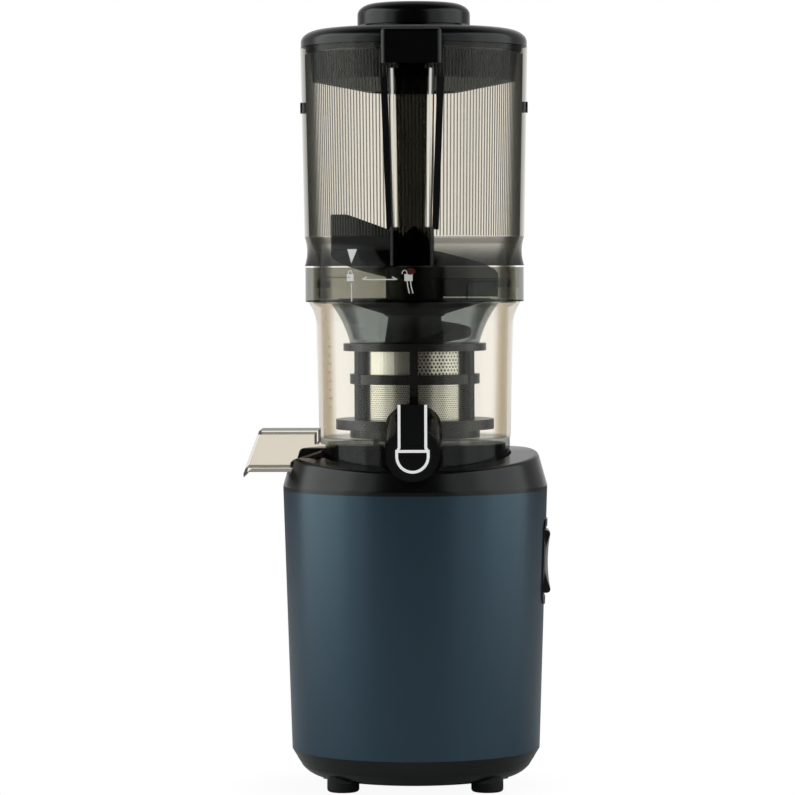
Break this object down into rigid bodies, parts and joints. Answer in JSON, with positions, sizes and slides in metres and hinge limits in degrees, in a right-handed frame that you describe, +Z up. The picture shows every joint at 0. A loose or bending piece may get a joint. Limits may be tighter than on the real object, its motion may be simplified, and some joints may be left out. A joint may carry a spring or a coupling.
{
  "type": "cold press juicer",
  "caption": "Upright slow juicer: round motor base, clear juicing bowl with strainer and auger, fluted hopper with handle, hinged lid, juice spout and pulp chute.",
  "frame": {"origin": "on the worktop, at the centre of the footprint's box; the drive axis stands 11.42 mm to +X and 11.3 mm to +Y of it", "axes": "+Z up, the juice spout and the handle look along -Y, the pulp chute along -X, the switch along +X"},
  "size_m": [0.1972, 0.1934, 0.5047],
  "materials": {
    "housing_paint": "satin dark blue paint on a moulded housing",
    "black_case": "satin black moulding",
    "black_gloss": "polished black moulding",
    "smoky_clear": "clear smoky tritan-like moulding, see-through",
    "bowl_clear": "clear pale amber moulding, see-through",
    "dark_moulding": "dark grey food-safe moulding",
    "auger_plastic": "dark, strong, matt moulding",
    "silicone": "soft dark silicone",
    "foot_rubber": "matt black rubber",
    "steel": "brushed stainless steel",
    "bright_steel": "ground steel",
    "chrome_trim": "bright chrome plate",
    "gear_plastic": "natural acetal gear material",
    "gearbox_plastic": "glass-filled grey moulding",
    "copper_iron": "laminated iron with windings",
    "board_green": "printed circuit board",
    "component_grey": "moulded electrical parts"
  },
  "bodies": {
    "base": {"bottom_cover": "black_case", "rubber_feet": "foot_rubber", "foot_screws": "steel", "base_housing": "housing_paint", "cover_screws": "steel", "cord_inlet": "black_case", "top_cover": "black_case", "shaft_seal": "silicone", "motor_can": "steel", "motor_stator": "copper_iron", "motor_end_cap": "steel", "motor_bearings": "bright_steel", "idler_pin": "bright_steel", "gearbox_housing": "gearbox_plastic", "gearbox_cover": "gearbox_plastic", "output_bearing": "bright_steel", "gearbox_screws": "steel", "control_board": "board_green", "board_parts": "component_grey", "switch_bezel": "black_gloss", "switch_body": "component_grey"},
    "rocker": {"rocker_inlay": "chrome_trim", "switch_rocker": "black_gloss"},
    "rotor": {"rotor_shaft": "bright_steel", "rotor_core": "copper_iron", "cooling_fan": "gearbox_plastic", "motor_pinion": "bright_steel"},
    "idler": {"idler_gear": "gear_plastic"},
    "drive": {"output_gear": "gear_plastic", "drive_shaft": "bright_steel"},
    "bowl": {"juicing_bowl": "bowl_clear", "bowl_seal": "silicone", "pulp_chute": "bowl_clear", "pulp_packing": "silicone", "juice_spout": "bowl_clear", "lever_pin": "bright_steel", "strainer": "steel", "strainer_collar": "dark_moulding"},
    "spout_lever": {"cap_seal": "silicone", "juice_cap": "black_gloss", "cap_lever": "black_gloss", "lever_trim": "chrome_trim"},
    "planet": {"wiper_pinion": "gear_plastic"},
    "wiper": {"wiper_frame": "dark_moulding", "wiper_blades": "silicone"},
    "auger": {"auger": "auger_plastic", "hex_socket": "bright_steel", "auger_gear": "gear_plastic", "cutting_screw": "auger_plastic"},
    "hopper": {"hopper_base": "smoky_clear", "hopper": "smoky_clear", "side_plugs": "black_gloss", "lid_hinge_pin": "bright_steel", "hopper_handle": "smoky_clear", "latch_pin": "bright_steel"},
    "latch": {"lid_latch": "black_gloss"},
    "lid": {"lid": "black_gloss", "lid_plug": "black_gloss", "lid_seal": "silicone"},
    "feed_cap": {"feed_cap": "black_gloss"}
  },
  "joints": [
    {"name": "drive_spin", "type": "hinge", "parent": "base", "child": "drive", "pos_m": [0.01142, 0.0113, 0.1837], "axis": [0, 0, 1], "continuous": true},
    {"name": "motor_spin", "type": "hinge", "parent": "base", "child": "rotor", "pos_m": [0.01142, 0.0113, 0.0837], "axis": [0, 0, 1], "continuous": true},
    {"name": "idler_spin", "type": "hinge", "parent": "base", "child": "idler", "pos_m": [0.01142, 0.0449, 0.1337], "axis": [0, 0, 1], "continuous": true},
    {"name": "switch_rock", "type": "hinge", "parent": "base", "child": "rocker", "pos_m": [0.09042, 0.0113, 0.1448], "axis": [0, 1, 0], "range_deg": [-8, 8]},
    {"name": "bowl_lift", "type": "slide", "parent": "base", "child": "bowl", "axis": [0, 0, 1], "range_m": [0, 0.07]},
    {"name": "auger_spin", "type": "hinge", "parent": "bowl", "child": "auger", "pos_m": [0.01142, 0.0113, 0.2437], "axis": [0, 0, 1], "continuous": true},
    {"name": "planet_spin", "type": "hinge", "parent": "bowl", "child": "planet", "pos_m": [0.01142, 0.03255, 0.2287], "axis": [0, 0, 1], "continuous": true},
    {"name": "wiper_spin", "type": "hinge", "parent": "bowl", "child": "wiper", "pos_m": [0.01142, 0.0113, 0.2337], "axis": [0, 0, 1], "continuous": true},
    {"name": "spout_cap_open", "type": "hinge", "parent": "bowl", "child": "spout_lever", "pos_m": [0.01142, -0.0863, 0.2459], "axis": [-1, 0, 0], "range_deg": [0, 100]},
    {"name": "hopper_twist", "type": "hinge", "parent": "bowl", "child": "hopper", "pos_m": [0.01142, 0.0113, 0.3237], "axis": [0, 0, 1], "range_deg": [0, 33]},
    {"name": "latch_pull", "type": "hinge", "parent": "hopper", "child": "latch", "pos_m": [0.01142, -0.0807, 0.4745], "axis": [-1, 0, 0], "range_deg": [0, 8], "stiffness_Nm_per_rad": 0.4, "springref_deg": -5.73},
    {"name": "lid_open", "type": "hinge", "parent": "hopper", "child": "lid", "pos_m": [0.01142, 0.0908, 0.4797], "axis": [-1, 0, 0], "range_deg": [0, 100]},
    {"name": "feed_cap_lift", "type": "slide", "parent": "lid", "child": "feed_cap", "axis": [0, 0, 1], "range_m": [0, 0.05]}
  ],
  "couplings": [
    {"joint": "auger_spin", "follows": "drive_spin", "ratio": 1},
    {"joint": "idler_spin", "follows": "drive_spin", "ratio": -5},
    {"joint": "motor_spin", "follows": "drive_spin", "ratio": 25},
    {"joint": "planet_spin", "follows": "drive_spin", "ratio": -1.4286},
    {"joint": "wiper_spin", "follows": "drive_spin", "ratio": -0.41667}
  ]
}
